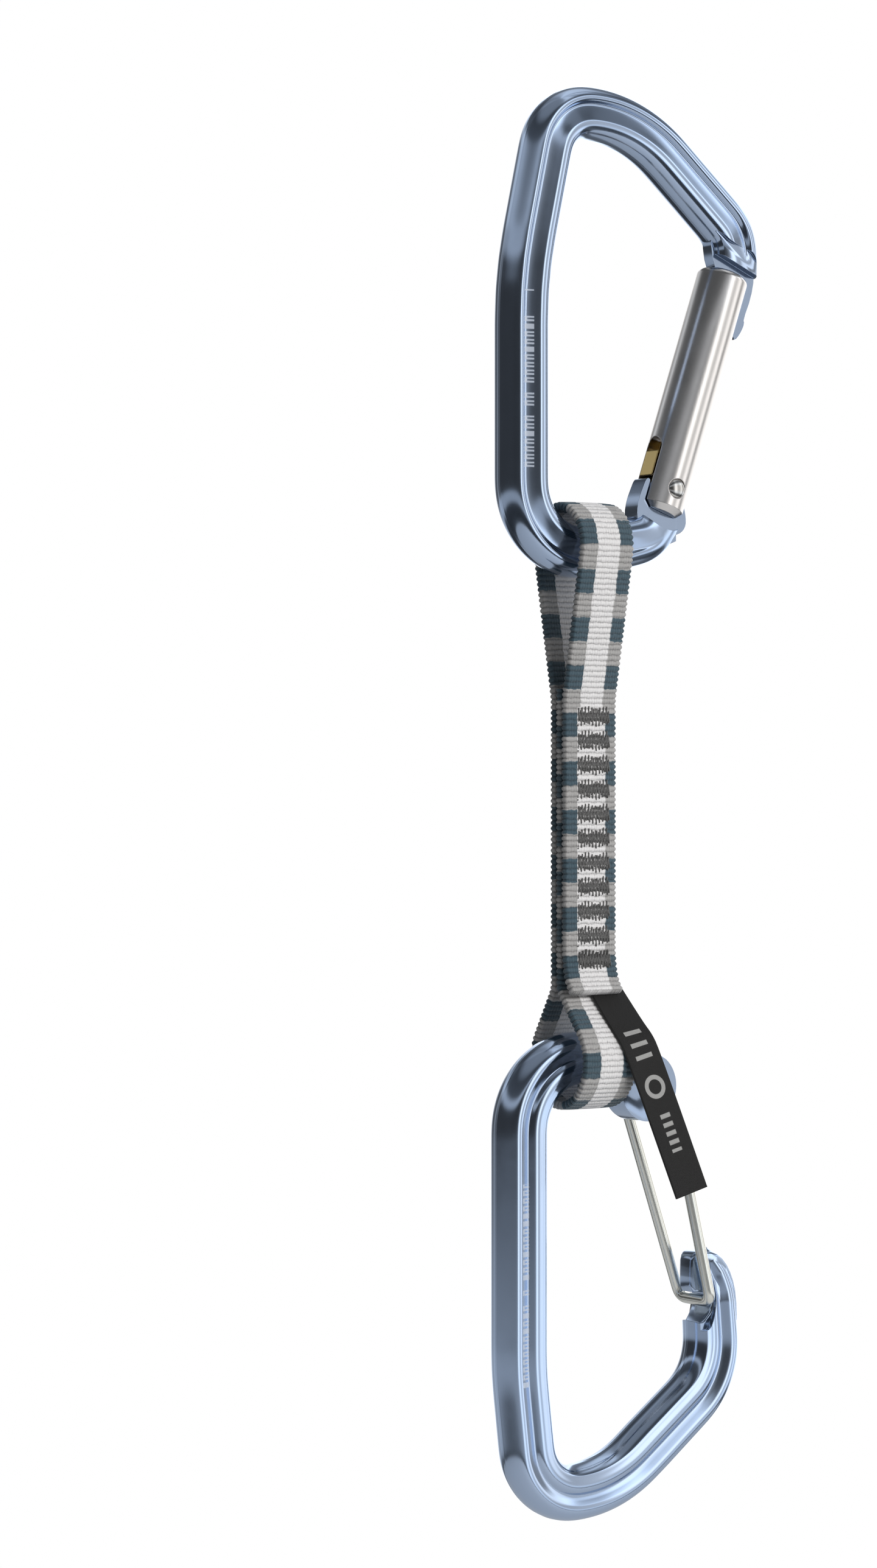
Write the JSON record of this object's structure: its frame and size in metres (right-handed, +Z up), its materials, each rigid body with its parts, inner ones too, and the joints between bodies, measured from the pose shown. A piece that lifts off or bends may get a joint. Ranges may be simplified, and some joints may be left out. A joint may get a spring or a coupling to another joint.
{
  "type": "climbing quickdraw",
  "caption": "Climbing quickdraw: a straight-gate carabiner and a wire-gate carabiner joined by a short sewn webbing sling with a woven tag.",
  "frame": {"origin": "inner apex of the top carabiner's basket, where the quickdraw hangs", "axes": "+Z up along the hanging quickdraw, +X from the spines to the gates, -Y to the front, where the webbing's free end and the label are"},
  "size_m": [0.0634, 0.0256, 0.2841],
  "materials": {
    "anodised_bar": "steel-blue anodised forging, satin with sharp highlights",
    "bare_gate": "bare turned aluminium, lightly brushed",
    "steel_rivet": "polished stainless steel",
    "brass_pusher": "dull brass",
    "steel_wire": "bright stainless wire",
    "webbing": "woven polyester, cream centre between petrol and light grey edge blocks",
    "thread": "grey bonded thread in zig-zag bar tacks",
    "label": null
  },
  "bodies": {
    "top_carabiner": {"top_carabiner_body": "anodised_bar"},
    "gate": {"top_gate": "bare_gate", "top_gate_rivet": "steel_rivet", "top_gate_spring": "steel_wire"},
    "pusher": {"top_gate_pusher": "brass_pusher"},
    "sling": {"sling_webbing": "webbing", "bar_tacks": "thread", "sling_label": "label"},
    "bottom_carabiner": {"bottom_carabiner_body": "anodised_bar"},
    "wire": {"wire_gate": "steel_wire"}
  },
  "joints": [
    {"name": "gate_swing", "type": "hinge", "parent": "top_carabiner", "child": "gate", "pos_m": [0.0196, 0, -0.0687], "axis": [0, -1, 0], "range_deg": [0, 26], "stiffness_Nm_per_rad": 0.1, "springref_deg": -57.3},
    {"name": "pusher_slide", "type": "slide", "parent": "gate", "child": "pusher", "axis": [0.3322, 0, 0.9432], "range_m": [0, 0.0017], "deforming": ["top_gate_spring"]},
    {"name": "sling_swing", "type": "hinge", "parent": "top_carabiner", "child": "sling", "pos_m": [0, 0, -0.0807], "axis": [1, 0, 0], "range_deg": [-60, 60]},
    {"name": "bottom_carabiner_swing", "type": "hinge", "parent": "sling", "child": "bottom_carabiner", "pos_m": [0, 0, -0.1825], "axis": [1, 0, 0], "range_deg": [-16, 60]},
    {"name": "wire_gate_swing", "type": "hinge", "parent": "bottom_carabiner", "child": "wire", "pos_m": [0.016, 0, -0.189], "axis": [0, 1, 0], "range_deg": [0, 25], "stiffness_Nm_per_rad": 0.1, "springref_deg": -57.3}
  ],
  "couplings": [
    {"joint": "pusher_slide", "follows": "gate_swing", "m_per_rad": 0.003526}
  ]
}
